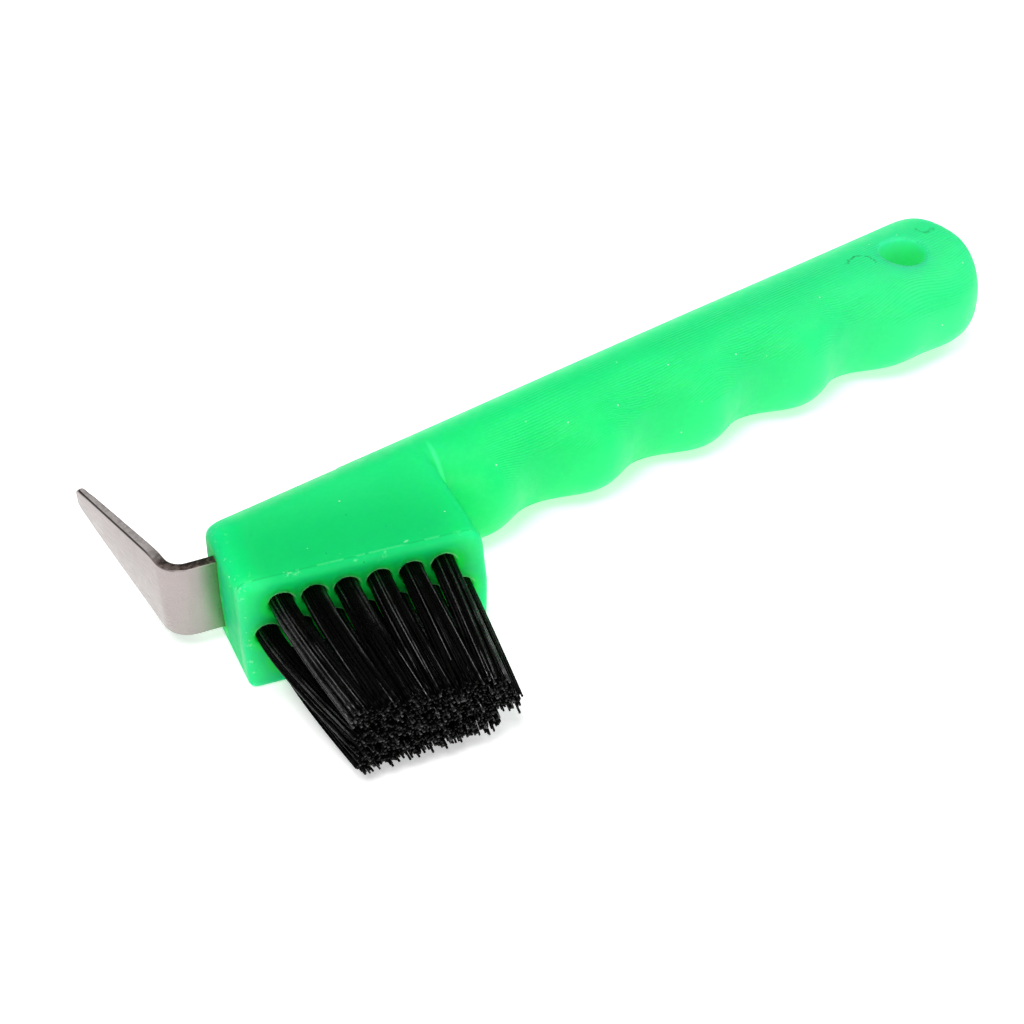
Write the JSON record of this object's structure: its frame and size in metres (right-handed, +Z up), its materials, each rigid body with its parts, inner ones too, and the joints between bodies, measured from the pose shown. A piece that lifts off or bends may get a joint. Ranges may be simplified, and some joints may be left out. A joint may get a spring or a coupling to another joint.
{
  "type": "hoof pick",
  "caption": "Hoof pick with brush: a moulded plastic handle with finger grooves and a hang hole, a bent tapered steel pick, and rows of stiff nylon bristles.",
  "frame": {"origin": "centre of the footprint, on the surface that the tool's flat side lies on", "axes": "+X along the handle from the brush head to the hanging end; +Y towards the back of the handle, the side that the steel pick points to, with the bristles towards -Y; +Z up, square to the tool's flat side"},
  "size_m": [0.169, 0.0822, 0.0213],
  "materials": {
    "green_plastic": "satin, slightly translucent moulded polypropylene, bright green",
    "pick_steel": "satin stainless strip with sheared edges",
    "black_nylon": "stiff black nylon filament, slight sheen",
    "staple_wire": "flat brass-coated anchor wire"
  },
  "bodies": {
    "root": {"handle": "green_plastic", "pick_blade": "pick_steel", "tuft_upper_1": "black_nylon", "tuft_upper_2": "black_nylon", "tuft_upper_3": "black_nylon", "tuft_upper_4": "black_nylon", "tuft_upper_5": "black_nylon", "tuft_upper_6": "black_nylon", "tuft_middle_1": "black_nylon", "tuft_middle_2": "black_nylon", "tuft_middle_3": "black_nylon", "tuft_middle_4": "black_nylon", "tuft_middle_5": "black_nylon", "tuft_middle_6": "black_nylon", "tuft_middle_7": "black_nylon", "tuft_lower_1": "black_nylon", "tuft_lower_2": "black_nylon", "tuft_lower_3": "black_nylon", "tuft_lower_4": "black_nylon", "tuft_lower_5": "black_nylon", "tuft_lower_6": "black_nylon", "staple_upper_1": "staple_wire", "staple_upper_2": "staple_wire", "staple_upper_3": "staple_wire", "staple_upper_4": "staple_wire", "staple_upper_5": "staple_wire", "staple_upper_6": "staple_wire", "staple_middle_1": "staple_wire", "staple_middle_2": "staple_wire", "staple_middle_3": "staple_wire", "staple_middle_4": "staple_wire", "staple_middle_5": "staple_wire", "staple_middle_6": "staple_wire", "staple_middle_7": "staple_wire", "staple_lower_1": "staple_wire", "staple_lower_2": "staple_wire", "staple_lower_3": "staple_wire", "staple_lower_4": "staple_wire", "staple_lower_5": "staple_wire", "staple_lower_6": "staple_wire"}
  },
  "joints": []
}
